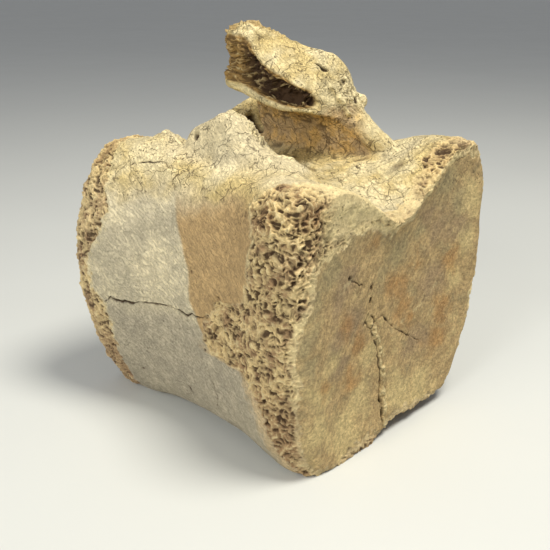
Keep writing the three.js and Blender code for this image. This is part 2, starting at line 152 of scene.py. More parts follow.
SCRATCHES = (
    ((3, -51, 40), (15, -51, 44), (27, -52, 53)),
    ((-34, -52, 58), (-30, -52, 63), (-25, -52, 66)),
)

# Fine cracks: line, width and direction into the bone
FINE_CRACKS = (
    *((line, 0.5, INWARD) for line in SIDE_CRACKS),
    *((line, 0.6, BACKWARD) for line in FACE_CRACKS),
    *((line, 0.6, DOWNWARD) for line in TOP_CRACKS),
)

# Raised edges: line, height, half width and direction into the bone
STUMP_EDGE = (
    (-29, 3, 110.5), (-27, -2, 110), (-26, -5, 107),
    (-25, -11, 103), (-24, -19, 100), (-24, -28, 98),
)
EDGES = (
    (((12, -7, 118), (14, -9, 115), (17, -10, 111), (18, -13, 106)), 1.7, 0.9, INTO_ARCH),
    (STUMP_EDGE, 1.2, 0.9, DOWNWARD),
    (((-22, -30, 98), (-16, -33, 95), (-14, -38, 92)), 0.7, 0.9, DOWNWARD),
)

# Pits: centre, radius and depth
PITS = (
    ((-52, -16, 55.5), 2.4, 1.6),
    ((-52.5, -21, 54), 2.6, 1.5),
    ((-53, -26, 53), 2.2, 1.1),
    ((-53.5, -28, 34.5), 2.6, 1.1),
    ((-55, -45, 79), 2.2, 1.1),
    ((-54, -46, 88), 2.4, 1.2),
    ((-56, -44, 54), 2.4, 1.0),
    ((-50, -2, 61), 1.2, 1.0),
    ((-51, -3, 35), 0.7, 0.5),
    ((-51, -9, 34), 0.9, 0.6),
    ((-53, 26, 15), 1.2, 0.8),
    ((8, -51, 34), 1.0, 1.2),
    ((-27, -52, 66), 1.0, 0.9),
    ((22, -13, 112), 1.7, 1.6),
    ((-33, 14, 102), 2.4, 1.6),
)
# Pocket at the rear of the arch, darkened with painted shade: centre, radius and depth
POCKET = ((18, 39, 97), 6.5, 3.0)

# Pitted patch on the arch, and jagged places: centre and radius
PITTED_PATCH = (((19, -8, 118), 3.5), ((21, -10, 114), 3.5), ((22, -13, 110), 3.0))
JAGGED = (((23, -12, 112), 6), ((-30, 31, 103), 5))

# Stains: centre and radius
RUST = (
    ((2, -50, 55), 6), ((6, -51, 48), 6), ((9, -51, 41), 5), ((30, -52, 57), 6), ((28, -52, 40), 6),
    ((24, -52, 28), 6), ((-23, -52, 29), 5), ((-39, -53, 32), 4), ((-28, -52, 49), 5), ((-1, -31, 86), 7),
    ((-2, -49, 81), 4), ((-14, -51, 74), 4), ((-20, -51, 40), 5), ((14, -52, 62), 4),
)
MAUVE = (
    ((-23, -51, 49), 7), ((-31, -52, 60), 6), ((-28, -52, 67), 7), ((-34, -52, 46), 6), ((-30, -52, 36), 5),
    ((20, -51, 51), 7), ((23, -51, 71), 8), ((14, -51, 31), 7), ((14, -51, 78), 6), ((33, -52, 68), 6),
)
OLIVE = (
    ((-31, -52, 80), 6), ((-24, -53, 84), 6), ((-38, -53, 70), 7), ((-45, -54, 64), 6), ((-48, -53, 53), 5),
    ((-48, -53, 42), 5), ((1, -50, 69), 7), ((-6, -50, 61), 5), ((23, -52, 86), 7), ((31, -52, 78), 6),
    ((10, -51, 72), 5), ((-10, -51, 78), 6),
)
YELLOW = (
    ((-42, -53, 31), 7), ((-27, -53, 12), 9), ((-35, -53, 41), 5), ((3, -53, 14), 8), ((-19, -52, 21), 7),
    ((-42, -54, 15), 7), ((38, -53, 64), 6), ((40, -53, 80), 7), ((16, -53, 12), 8), ((-14, -52, 33), 5),
    ((32, -52, 50), 5), ((-61, 34, 62), 6), ((-61, 37, 56), 6), ((-59, 30, 51), 5),
)


def ramp(value, low, high):
    """0 at low, 1 at high, with a smooth rise between them; low may be the larger."""
    t = np.clip((value - low) / (high - low), 0, 1)
    return t * t * (3 - 2 * t)


def lattice(cell, seed):
    """A repeatable random number from 0 to 1 for each whole-numbered cell."""
    c = cell.astype(np.int64).astype(np.uint32)
    h = c[:, 0] * np.uint32(374761393) ^ c[:, 1] * np.uint32(668265263)
    h ^= c[:, 2] * np.uint32(2246822519) ^ np.uint32(seed * 40503 + 977)
    h ^= h >> np.uint32(15)
    h *= np.uint32(2246822519)
    h ^= h >> np.uint32(13)
    h *= np.uint32(3266489917)
    h ^= h >> np.uint32(16)
    return h / 2.0**32


def noise(p, size, seed, octaves=1):
    """Smooth noise from about -1 to 1 with features of that size, halved for each further octave."""
    total, weight, share = np.zeros(len(p)), 0.0, 1.0
    for octave in range(octaves):
        q = p * (2**octave / np.asarray(size, float)) + 17.3 * octave
        base = np.floor(q)
        f = q - base
        f = f * f * f * (f * (f * 6 - 15) + 10)
        for corner in itertools.product((0, 1), repeat=3):
            weights = np.prod(np.where(corner, f, 1 - f), axis=1)
            total += share * weights * (2 * lattice(base + corner, seed + octave) - 1)
        weight += share
        share *= 0.5
    return total / weight * 1.6


def bent(p, size, amount, seed):
    """The points moved about by noise, so that what is drawn on them wanders."""
    return p + amount * np.stack([noise(p, size, seed + axis, 2) for axis in range(3)], axis=1)


def crests(p, size, seed, sharpness=2.0):
    """Narrow winding crests, from 0 between them to 1 along them."""
    return np.clip(1 - sharpness * np.abs(noise(p, size, seed)), 0, 1)


def line_distance(p, line, into=None):
    """Distance of each point from a line of straight pieces, and how far along it, from 0 to 1.

    Most of the way in the direction into the bone isn't counted, so a line close to the surface
    still marks it.
    """
    line = np.array(line, float)
    best, along = np.full(len(p), 1e9), np.zeros(len(p))
    for index, (a, b) in enumerate(zip(line[:-1], line[1:])):
        ab = b - a
        t = np.clip((p - a) @ ab / (ab @ ab), 0, 1)
        apart = p - a - t[:, None] * ab
        if into is not None:
            apart -= 0.8 * np.outer(apart @ into, into)
        d = np.linalg.norm(apart, axis=1)
        along = np.where(d < best, (index + t) / (len(line) - 1), along)
        best = np.minimum(best, d)
    return best, along


def looked_up(value, table):
    return np.interp(value, list(table), list(table.values()))


# Skin
def joined_solids():
    """One mesh of all the solids, each a little swollen so that they cross the thin cuts between them."""
    joined = bmesh.new()
    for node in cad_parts.values():
        solid = bmesh.new()
        solid.from_mesh(node.data)
        bmesh.ops.remove_doubles(solid, verts=solid.verts, dist=WELD)
        solid.normal_update()
        for vertex in solid.verts:
            vertex.co += vertex.normal * SWELL
        swollen = bpy.data.meshes.new("swollen")
        solid.to_mesh(swollen)
        joined.from_mesh(swollen)
        solid.free()
        bpy.data.meshes.remove(swollen)
    mesh = bpy.data.meshes.new("fossil_vertebra")
    joined.to_mesh(mesh)
    joined.free()
    return mesh


def add_object(name, data):
    obj = bpy.data.objects.new(name, data)
    bpy.context.scene.collection.objects.link(obj)
    return obj


def apply_modifier(obj, kind, **settings):
    modifier = obj.modifiers.new(kind.lower(), kind)
    for name, value in settings.items():
        setattr(modifier, name, value)
    graph = bpy.context.evaluated_depsgraph_get()
    result = bpy.data.meshes.new_from_object(obj.evaluated_get(graph))
    obj.modifiers.clear()
    obj.data = result


def vertex_array(mesh):
    co = np.empty(len(mesh.vertices) * 3)
    mesh.vertices.foreach_get("co", co)
    return co.reshape(-1, 3)


def normal_array(mesh):
    normals = np.empty(len(mesh.vertices) * 3, np.float32)
    mesh.vertex_normals.foreach_get("vector", normals)
    return normals.reshape(-1, 3).astype(float)


def set_vertices(mesh, co):
    mesh.vertices.foreach_set("co", co.ravel())
    mesh.update()


def neighbour_mean(mesh):
    """A function that gives the mean of a value over each vertex's neighbours."""
    edges = np.empty(len(mesh.edges) * 2, np.int32)
    mesh.edges.foreach_get("vertices", edges)
    a, b = edges.reshape(-1, 2).T
    count = len(mesh.vertices)
    valence = np.maximum(np.bincount(a, minlength=count) + np.bincount(b, minlength=count), 1)

    def mean(value):
        total = np.bincount(a, value[b], count) + np.bincount(b, value[a], count)
        return total / valence

    return mean


def smooth(mesh, rounds):
    """Evens the surface without shrinking it: each pull inward is followed by a push outward."""
    mean = neighbour_mean(mesh)
    co = vertex_array(mesh)
    for _ in range(rounds):
        for strength in (0.6, -0.62):
            centre = np.stack([mean(co[:, axis]) for axis in range(3)], axis=1)
            co += strength * (centre - co)
    set_vertices(mesh, co)


def lay_out(obj):
    """The UV map for baking, laid out while the skin is still smooth."""
    obj.data.uv_layers.new(name="OFBake")
    bpy.context.view_layer.objects.active = obj
    bpy.ops.object.select_all(action="DESELECT")
    obj.select_set(True)
    bpy.ops.object.mode_set(mode="EDIT")
    bpy.ops.mesh.select_all(action="SELECT")
    bpy.ops.uv.smart_project(angle_limit=math.radians(66), island_margin=0.002)
    bpy.ops.object.mode_set(mode="OBJECT")


def divide_rough_parts(mesh, rough):
    """Halves the edges of the faces whose corners are all rough."""
    bm = bmesh.new()
    bm.from_mesh(mesh)
    chosen = [f for f in bm.faces if all(rough[v.index] for v in f.verts)]
    edges = list({e for f in chosen for e in f.edges})
    bmesh.ops.subdivide_edges(bm, edges=edges, cuts=1, use_grid_fill=True)
    bm.to_mesh(mesh)
    bm.free()


# Regions of the bone's surface
def rim_radius(p, angle, end):
    """Radius of the centrum's outline near one end, at each point's angle."""
    near = (np.abs(p[:, 1] - end) < RIM_ZONE) & (p[:, 2] < RIM_TOP)
    radius = np.hypot(p[:, 0], p[:, 2] - AXIS_HEIGHT)
    slots = 360 // ANGLE_STEP
    slot = ((angle + 180) / ANGLE_STEP).astype(int) % slots
    reach = np.zeros(slots)
    np.maximum.at(reach, slot[near], radius[near])
    reach = (np.roll(reach, 1) + reach + np.roll(reach, -1)) / 3
    middle = (np.arange(slots) + 0.5) * ANGLE_STEP - 180
    return np.interp(angle, middle, reach, period=360)


def rim_band(p, end, side_band, face_band):
    """How far inside the worn band of one rim each point lies, in millimetres, below 0 outside it."""
    angle = np.degrees(np.arctan2(p[:, 2] - AXIS_HEIGHT, -p[:, 0]))
    depth = np.abs(p[:, 1] - end)
    inward = rim_radius(p, angle, end) - np.hypot(p[:, 0], p[:, 2] - AXIS_HEIGHT)
    ragged = 1.3 * noise(p, 7, 11, 2) + 0.9 * noise(p, 2, 12, 2)
    ragged += 0.8 * noise(p, 1.3, 15)
    on_side = looked_up(angle, side_band) + ragged - depth
    on_face = looked_up(angle, face_band) + 0.35 * depth + ragged - inward
    return np.minimum(on_side, on_face)


def spots(p, places):
    """1 in the middle of each round spot, fading outwards."""
    value = np.zeros(len(p))
    for centre, radius in places:
        value = np.maximum(value, np.exp(-((p - centre) ** 2).sum(axis=1) / radius**2))
    return value


def rim_regions(p, n, wander):
    """The worn front and rear rims, their chalky part, the pale lips beside them and the pale tongue."""
    x, _, z = p.T
    front_band = rim_band(p, FRONT, FRONT_SIDE_BAND, FRONT_FACE_BAND)
    rear_band = rim_band(p, REAR, REAR_SIDE_BAND, REAR_FACE_BAND)
    near = ramp(front_band, -RIM_SOFTNESS, RIM_SOFTNESS)
    far = ramp(rear_band, -RIM_SOFTNESS, RIM_SOFTNESS)
    chalk = (
        near * ramp(z + 2 * wander, 76, 84)
        * ramp(x + 2 * wander, -44, -36) * ramp(x + 3 * wander, 18, 6)
    )
    chalk = np.maximum(chalk, near * ramp(front_band, 5, 1) * ramp(-n[:, 1], 0.4, 0.8) * 0.8)
    side_lip = np.exp(-((front_band + 0.2) ** 2)) * ramp(-n[:, 0], 0.5, 0.9) * ramp(z, 56, 66)
    side_lip *= 0.35 + 0.65 * ramp(noise(p, 2.2, 25, 2), -0.3, 0.4)
    far_lip = np.exp(-((rear_band + 0.5) ** 2)) * ramp(z, 15, 30)
    tongue = (
        ramp(front_band, -7, -1.5) * (1 - near)
        * ramp(z + wander, 38, 33) * ramp(-n[:, 0], 0.3, 0.7)
    )
    return near, far, chalk, np.maximum(0.8 * side_lip, 0.5 * far_lip), tongue


def break_regions(p, n, wander):
    """The broken side of the arch, the broken tip, the middle of the side that gets painted shade, and its
    pale lower lip.
    """
    x, y, z = p.T
    top, lip = looked_up(y, BREAK_TOP), looked_up(y, BREAK_LIP)
    across = (z - lip) / (top - lip)
    side = (
        ramp(-n[:, 0] - 0.15 * n[:, 2], 0.2, 0.55)
        * ramp(x, 6.5, 4.5) * ramp(x, -6, -4) * ramp(y, -11, -7)
    )
    ragged = across + 0.05 * wander
    broken = side * ramp(ragged, 0.02, 0.12) * ramp(ragged, 1.05, 0.95)
    tip = ramp(n[:, 2] + 0.3 * wander, 0.5, 0.9) * ramp(z, 132, 136)
    # Painted shade over the middle of the broken side, towards the front; the relief also sinks it
    dark = broken * ramp(across, 0.1, 0.3) * ramp(across, 0.98, 0.8) * ramp(y + wander, 29, 20)
    lower_lip = side * np.exp(-(((z - lip + 0.2) / 1.3) ** 2)) * ramp(z, 106, 108)
    return broken, tip, dark, lower_lip


def regions(p, n):
    """The bone's surface regions at each point, each from 0 to 1."""
    x, y, z = p.T
    wander = noise(p, 9, 23, 3)
    near, far, chalk, lips, tongue = rim_regions(p, n, wander)
    broken, tip, break_trough_shade, lower_lip = break_regions(p, n, wander)
    on_centrum = ramp(z, 104, 99)
    sponge = np.maximum(near, 0.9 * far) * on_centrum

    arch = ramp(z + 2 * wander, 99, 103)
    arch = np.maximum(arch, ramp(z + 2 * wander, 92, 96) * ramp(x, 16, 20) * ramp(y, -40, -32))
    dorsal = ramp(n[:, 2], 0.35, 0.75) * ramp(z, 78, 86) * (1 - arch)
    upper = ramp(z + 4 * wander, 80, 91) * (1 - arch)
    face = ramp(-n[:, 1], 0.55, 0.85) * ramp(-y, *FACE_ZONE) * on_centrum
    back = ramp(n[:, 1], 0.55, 0.85) * ramp(y, *FACE_ZONE) * on_centrum
    wall = (
        ramp(-n[:, 0], 0.1, 0.5) * ramp(x, 5, 9) * ramp(z, 90, 94)
        * ramp(z + wander, 112, 108) * ramp(y, 46, 38) * ramp(y + 0.5 * (105 - z), -20, -12)
    )
    crest = (
        ramp(z + wander, 99, 103) * ramp(x, -27.5, -25.5) * ramp(x, -8, -12)
        * ramp(n[:, 2] + n[:, 0], 0.3, 0.7)
    )
    stain = (
        ramp(y - looked_up(z, STAIN_BORDER) - 0.8 * wander, 0.8, -0.8)
        * ramp(z, 37, 42) * ramp(x, -28, -40) * ramp(z + 3 * wander + 0.3 * y, 89, 77)
    )
    wandering = bent(p, 7, 3.0, 91)
    return {
        "sponge": sponge,
        "chalk": chalk,
        "pale": np.maximum(lips, lower_lip) * (1 - broken),
        "tongue": tongue,
        "arch": arch,
        "dorsal": dorsal,
        "upper": upper,
        "face": face * (1 - near),
        "back": back * (1 - far),
        "wall": wall,
        "broken": np.clip(broken + 0.7 * tip, 0, 1),
        "break_trough_shade": break_trough_shade,
        "crest": np.maximum(crest, spots(p, PITTED_PATCH)),
        # Paler cream high on the animal's right side
        "cream_upper_right": ramp(x + wander, -12, -20) * ramp(z + 2 * wander, 92, 99) * ramp(y, 30, 20),
        "stain": stain * (1 - sponge),
        "rust": spots(wandering, RUST),
        "mauve": spots(wandering, MAUVE),
        "olive": spots(wandering, OLIVE),
        "yellow": spots(wandering, YELLOW),
    }


def crack(p, line, width, into):
    """How deep in a crack each point lies, from 0 to 1; the crack tapers to both ends and breaks up."""
    distance, along = line_distance(p, line, into)
    taper = np.clip(np.sin(math.pi * np.clip(along, 0.05, 0.95)) * 2.5, 0.4, 1)
    taper *= 0.75 + 0.35 * noise(p, 2.5, 43)
    return ramp(distance, width * taper, 0.2 * width * taper)


def near_lines(p, reach):
    """Which points lie within reach of a crack or a raised edge."""
    lines = [(line, into) for line, _, into in FINE_CRACKS]
    lines += [(line, into) for line, _, _, into in EDGES]
    lines += [(line, BACKWARD) for line in (FACE_BEADS, FACE_LOOP, FACE_SEAM, FACE_GAP)]
    lines += [(SIDE_CRACK, INWARD), (ROOF_SLIT, INTO_ARCH)]
    return np.min([line_distance(p, line, into)[0] for line, into in lines], axis=0) < reach


def spongy(p, seed):
    """Height of open spongy bone, from 0 in its pores to 1 on its crests, with a few deeper holes below 0."""
    q = bent(p, 3.0, 0.8, seed)
    coarse = crests(q, (2.5, 2.8, 1.6), seed + 5, 1.1)
    middle = crests(q, (1.5, 1.7, 1.0), seed + 7, 1.3)
    fine = noise(q, 0.9, seed + 9, 2)
    holes = ramp(noise(q, (2.0, 2.4, 1.3), seed + 13, 2), 0.45, 0.85)
    return 0.45 * coarse + 0.55 * middle + 0.2 * fine - 0.45 * holes


def strengthen(marks, name, value, where=slice(None)):
    """Raises a mark to this value wherever it is lower."""
    marks[name][where] = np.maximum(marks[name][where], value)


def add_spongy_rims(p, region, height, marks):
    """Lumps and open spongy bone, shallower where it is chalky, with painted shade in its pores and a painted
    highlight on its crests.
    """
    rough = region["sponge"] > FAINT
    share, soft = region["sponge"][rough], 1 - 0.7 * region["chalk"][rough]
    level = spongy(p[rough], 100)
    lumps = 0.45 * noise(p[rough], 5.5, 9, 2)
    height[rough] += share * (lumps + soft * 1.1 * (level - 0.6))
    # Painted shade in the pores, weaker where the bone is chalky
    pores = 0.42 * ramp(level, 0.7, 0.32) + 0.42 * ramp(level, 0.3, -0.05)
    strengthen(marks, "recess_shade", share * soft * pores, rough)
    # Painted highlight on the crests
    strengthen(marks, "pale", 0.6 * share * ramp(level, 0.62, 0.95), rough)


def add_broken_side(p, region, height, marks):
    """Fibres of the broken arch, with pale flecks and painted shade between them, and a sunken middle in
    painted shade.
    """
    broken = region["broken"] > FAINT
    share, dark = region["broken"][broken], region["break_trough_shade"][broken]
    q = bent(p[broken], 2.6, 0.6, 61)
    fibres = crests(q, (1.2, 5.0, 0.9), 13, 1.5)
    flecks = ramp(noise(q, (0.9, 3.6, 0.8), 17, 2), 0.2, 0.75)
    rise = 0.9 * fibres - 0.5 + 0.5 * noise(q, 3, 15, 2)
    height[broken] += share * rise - 2.2 * dark * (1 - 0.6 * fibres)
    # Painted shade between the fibres and over the sunken middle
    strengthen(marks, "recess_shade", share * np.clip(0.85 - fibres - 0.3 * (1 - dark), 0, 1), broken)
    strengthen(marks, "recess_shade", dark * (0.97 - 0.6 * flecks), broken)
    strengthen(marks, "pale", 0.6 * flecks * share * fibres, broken)


def add_crest(p, region, height, marks):
    """Open bone on top of the broken stump and on the pitted patch of the arch."""
    crest = region["crest"] > FAINT
    share, level = region["crest"][crest], spongy(p[crest], 200)
    height[crest] += share * 1.1 * (level - 0.5)
    # Painted shade in the pores
    strengthen(marks, "recess_shade", 0.7 * share * ramp(level, 0.6, 0.1), crest)


def add_edges(p, n, height, marks):
    """Jagged broken places, and the sharp edges that stand up along lines, with a painted highlight along
    them.
    """
    jagged = np.maximum(spots(p, JAGGED), ramp(p[:, 2], 130, 134) * ramp(n[:, 2], 0.1, 0.6))
    height += jagged * (0.9 * crests(p, 3.0, 33, 1.6) + 0.5 * noise(p, 1.6, 35, 2) - 0.4)
    warped = bent(p, 2.5, 0.5, 37)
    uneven = 0.8 + 0.5 * noise(p, 2.5, 39)
    for line, rise, width, into in EDGES:
        distance, along = line_distance(warped, line, into)
        edge = np.exp(-((distance / width) ** 2)) * ramp(along, 0, 0.08) * ramp(along, 1, 0.92)
        edge *= ramp(line_distance(p, line)[0], 6, 3)
        height += rise * edge * uneven
        # Painted highlight along the raised edge
        strengthen(marks, "pale", edge)


def add_fine_lines(p, region, height, marks):
    """Striations that curve round the left pedicle, and wrinkles of the canal's wall, with painted shade in
    their grooves.
    """
    x, y, z = p.T
    across, along = x - PEDICLE_CENTRE[0], y - PEDICLE_CENTRE[1]
    away = np.hypot(across, along)
    round_pedicle = np.stack([away, 14 * np.arctan2(along, across), z * 0.4], axis=1)
    stripe = crests(bent(round_pedicle, 5, 0.7, 71), (2.3, 11, 11), 21, 3.6)
    striped = region["dorsal"] * (1 - region["sponge"]) * ramp(away, 50, 34)
    height -= 0.4 * striped * stripe
    # Painted shade in the grooves, in patches
    strengthen(marks, "lines", striped * stripe * ramp(noise(p, 6, 73, 2), -0.6, 0.1))

    wrinkle = crests(bent(p, 4, 1.4, 75), (5, 7, 1.7), 77, 3.2)
    low = region["wall"] * ramp(z + 0.25 * y, 104, 99) * 0.4
    high = region["wall"] * ramp(z + 0.15 * y, 99, 103)
    wrinkled = np.clip(low + high, 0, 1) * ramp(z, 95, 98)
    height -= 0.45 * wrinkled * wrinkle
    # Painted shade in the wrinkles
    strengthen(marks, "lines", wrinkled * wrinkle)


def add_cracks(p, warped, n, height, marks):
    """Cracks, the gap in the front face with crumbs along its seam, and pale scratches; the cracks and the
    gap get painted shade.
    """
    y, z = p[:, 1], p[:, 2]
    front = ramp(-n[:, 1], 0.2, 0.6) * ramp(-y, *FACE_ZONE)
    slots = 0.55 + 0.45 * ramp(noise(p, 3.5, 45), -0.1, 0.4)
    side = crack(warped, SIDE_CRACK, 0.7, INWARD) * (0.55 + 0.45 * slots)
    beads = crack(warped, FACE_BEADS, 1.2, BACKWARD) * ramp(noise(p, 1.1, 47), -0.4, 0.0) * front
    loop = crack(warped, FACE_LOOP, 0.7, BACKWARD) * front
    gap = crack(warped, FACE_GAP, 1.1, BACKWARD) * ramp(z, 26, 14) * front
    shadow = crack(warped, SEAM_SHADOW, 0.8, BACKWARD) * ramp(noise(p, 2.0, 51), -0.5, 0.1) * front
    slit = crack(warped, ROOF_SLIT, 1.1, INTO_ARCH)
    fine = np.max([crack(warped, line, width, into) for line, width, into in FINE_CRACKS], axis=0)
    depth_and_darkness = (
        (side, 0.9, 1.0), (beads, 0.9, 1.0), (loop, 0.6, 0.7), (gap, 1.8, 1.0),
        (shadow, 0.5, 0.7), (slit, 1.2, 1.0), (fine * slots, 0.5, 0.9),
    )
    height -= sum(depth * cut for cut, depth, _ in depth_and_darkness)
    # Painted shade in the cracks and the gap
    for cut, _, darkness in depth_and_darkness:
        strengthen(marks, "recess_shade", darkness * cut)

    crumb = noise(p, 1.0, 49, 2)
    crumbs = ramp(line_distance(warped, FACE_SEAM, BACKWARD)[0], 1.5, 0.5) * (1 - gap) * front
    height += crumbs * (0.3 + 0.6 * crumb)
    strengthen(marks, "pale", 0.7 * crumbs * ramp(crumb, -0.5, 0.4))
    worn = ramp(noise(p, 2.4, 53, 2), -0.3, 0.3)
    for line in SCRATCHES:
        strengthen(marks, "pale", 0.4 * crack(warped, line, 1.2, BACKWARD) * front * worn)


def add_pits(warped, n, height, marks):
    """Single pits, and the pocket at the rear of the arch, both darkened with painted shade."""
    for centre, radius, depth in PITS:
        pit = ramp(np.linalg.norm(warped - centre, axis=1), radius, 0.3 * radius)
        height -= depth * pit
        # Painted shade in the pit
        strengthen(marks, "recess_shade", pit)
    centre, radius, depth = POCKET
    pocket = ramp(np.linalg.norm(warped - centre, axis=1), radius, 0.6 * radius)
    pocket = pocket * ramp(-n[:, 1], -0.3, 0.2)
    height -= depth * pocket
    # Painted shade in the pocket
    strengthen(marks, "recess_shade", 0.85 * pocket)


def relief(p, n, region):
    """Height of the relief over the smooth skin in millimetres, and what it darkens and lightens, with
    painted shade in its pores, cracks, pits and grooves and painted highlights on its spongy crests and
    raised edges.
    """
    height = 0.35 * noise(p, 15, 1, 2) + 0.14 * noise(p, 4, 2, 3)
    marks = {"recess_shade": np.zeros(len(p)), "lines": np.zeros(len(p)), "pale": region["pale"].copy()}
    add_spongy_rims(p, region, height, marks)
    add_broken_side(p, region, height, marks)
    add_crest(p, region, height, marks)
    add_edges(p, n, height, marks)
    add_fine_lines(p, region, height, marks)
    warped = bent(p, 2.6, 0.6, 41)
    add_cracks(p, warped, n, height, marks)
    add_pits(warped, n, height, marks)
    return height, marks


def store(mesh, name, values):
    attribute = mesh.attributes.new(name, "FLOAT", "POINT")
    attribute.data.foreach_set("value", np.ascontiguousarray(values, np.float32))


def make_skin():
    skin = add_object("fossil_vertebra", joined_solids())
    apply_modifier(skin, "REMESH", mode="VOXEL", voxel_size=VOXEL)
    smooth(skin.data, SMOOTH_ROUNDS)
    set_vertices(skin.data, vertex_array(skin.data) - SWELL * normal_array(skin.data))
    lay_out(skin)
    apply_modifier(skin, "SUBSURF", levels=1, render_levels=1)

    p = vertex_array(skin.data) * TO_MM
    region = regions(p, normal_array(skin.data))
    rough = np.max([region[name] for name in ("sponge", "broken", "crest", "wall")], axis=0) > ROUGH
    divide_rough_parts(skin.data, rough | near_lines(p, LINE_REACH))

    p = vertex_array(skin.data) * TO_MM
    n = normal_array(skin.data)
    region = regions(p, n)
    height, marks = relief(p, n, region)
    low, high = (np.array(corner) * TO_MM for corner in cad_box)
    set_vertices(skin.data, np.clip(p + n * height[:, None], low, high) / TO_MM)
    for name, values in {**region, **marks}.items():
        store(skin.data, name, values)
    skin.data.polygons.foreach_set("use_smooth", np.ones(len(skin.data.polygons), bool))
    skin.data.update()
    return skin


# Materials
def linear(red, green, blue):
    """A colour given as 0 to 255 on screen, as the shader's linear numbers."""
    channels = (value / 255 for value in (red, green, blue))
    return tuple(c / 12.92 if c <= 0.04045 else ((c + 0.055) / 1.055) ** 2.4 for c in channels) + (1.0,)


CREAM = linear(232, 219, 182)
PALE_GREY = linear(208, 197, 166)
COOL_GREY = linear(176, 166, 144)
TAN = linear(196, 164, 114)
TONGUE = linear(214, 188, 142)
HONEY = linear(216, 194, 134)
PALE_HONEY = linear(232, 217, 170)
KHAKI = linear(194, 168, 120)
KHAKI_BROWN = linear(168, 143, 100)
RUST_BROWN = linear(172, 126, 72)
MAUVE_BROWN = linear(152, 130, 102)
OLIVE_GREY = linear(160, 148, 110)
STRAW = linear(214, 194, 138)
SPONGE = linear(220, 194, 138)
UMBER = linear(162, 128, 88)
# Dark brown for the painted shade in pores, cracks, pits and grooves, and for the fine crack network and tiny
# pores
PORE = linear(62, 42, 26)
CHALK = linear(236, 220, 168)
OCHRE = linear(214, 176, 110)
WALL_BROWN = linear(192, 164, 122)
FIBRE = linear(158, 128, 76)
FLOOR_GREY = linear(212, 215, 211)

# Stains of the end faces: region, colour and strength
FACE_STAINS = (
    ("yellow", STRAW, 0.7),
    ("olive", OLIVE_GREY, 0.7),
    ("mauve", MAUVE_BROWN, 0.65),
    ("rust", RUST_BROWN, 0.6),
)


